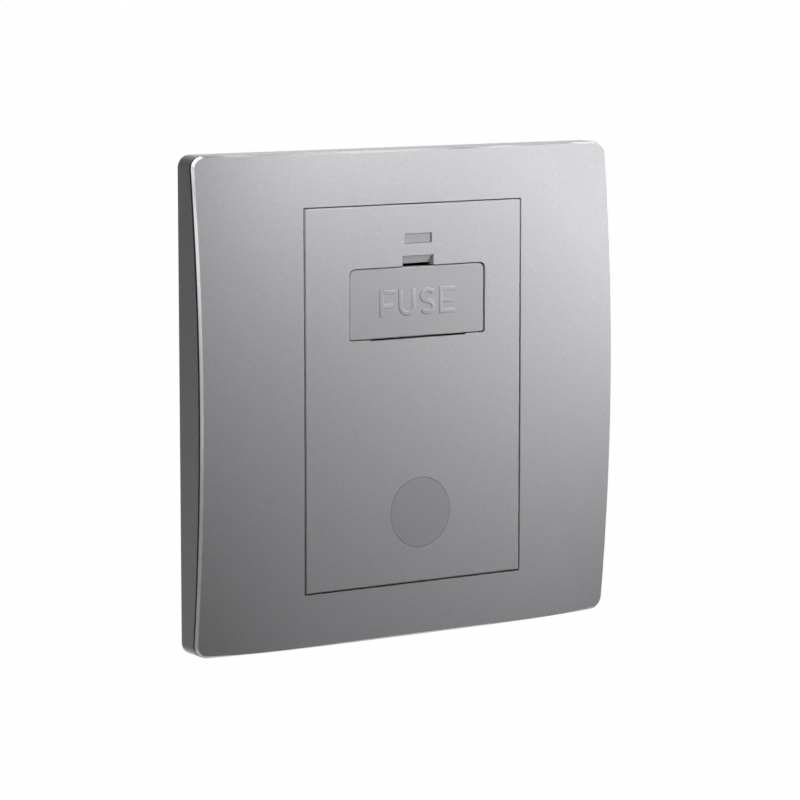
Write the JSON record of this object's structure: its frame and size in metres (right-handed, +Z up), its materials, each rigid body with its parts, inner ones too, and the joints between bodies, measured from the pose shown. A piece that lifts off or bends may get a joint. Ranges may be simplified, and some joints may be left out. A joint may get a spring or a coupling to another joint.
{
  "type": "fused spur unit",
  "caption": "Screwless one-gang fused connection unit: satin grey pillow-fronted frame, hinged fuse carrier, indicator window and blanked flex outlet.",
  "frame": {"origin": "midway between the two fixing slots, on the wall plane", "axes": "+Z up, -Y out of the wall into the room, +X to the right seen from the room"},
  "size_m": [0.086, 0.0271, 0.086],
  "materials": {
    "painted_frame": "satin metallic",
    "painted_panel": "satin metallic",
    "carrier_plastic": "moulded",
    "lens_plastic": "satin",
    "blank_plastic": "moulded",
    "base_plastic": "moulded",
    "yoke_steel": "zinc plated",
    "terminal_brass": "machined",
    "contact_bronze": "rolled",
    "screw_steel": "zinc plated",
    "fuse_ceramic": "fired ceramic",
    "fuse_metal": "nickel plated",
    "clamp_plastic": "moulded",
    "board_laminate": "laminate",
    "lamp_plastic": "clear tinted",
    "resistor_body": "lacquered"
  },
  "bodies": {
    "root": {"cover_frame": "painted_frame", "centre_panel": "painted_panel", "indicator_lens": "lens_plastic", "outlet_blank": "blank_plastic", "base_housing": "base_plastic", "supply_terminal_shroud": "base_plastic", "load_terminal_shroud": "base_plastic", "mounting_yoke": "yoke_steel", "line_supply_terminal": "terminal_brass", "line_load_terminal": "terminal_brass", "neutral_supply_terminal": "terminal_brass", "neutral_load_terminal": "terminal_brass", "earth_supply_terminal": "terminal_brass", "earth_load_terminal": "terminal_brass", "supply_contact": "contact_bronze", "load_contact": "contact_bronze", "neutral_link": "terminal_brass", "earth_link": "terminal_brass", "terminal_screws": "screw_steel", "assembly_screws": "screw_steel", "cord_clamp_screws": "screw_steel", "cord_clamp": "clamp_plastic", "indicator_board": "board_laminate", "indicator_led": "lamp_plastic", "indicator_resistor": "resistor_body", "indicator_pins": "terminal_brass"},
    "carrier": {"fuse_carrier": "carrier_plastic", "fuse_barrel": "fuse_ceramic", "fuse_cap_left": "fuse_metal", "fuse_cap_right": "fuse_metal"}
  },
  "joints": [
    {"name": "carrier_hinge", "type": "hinge", "parent": "root", "child": "carrier", "pos_m": [0, -0.0056, 0.01213], "axis": [1, 0, 0], "range_deg": [0, 80]}
  ]
}
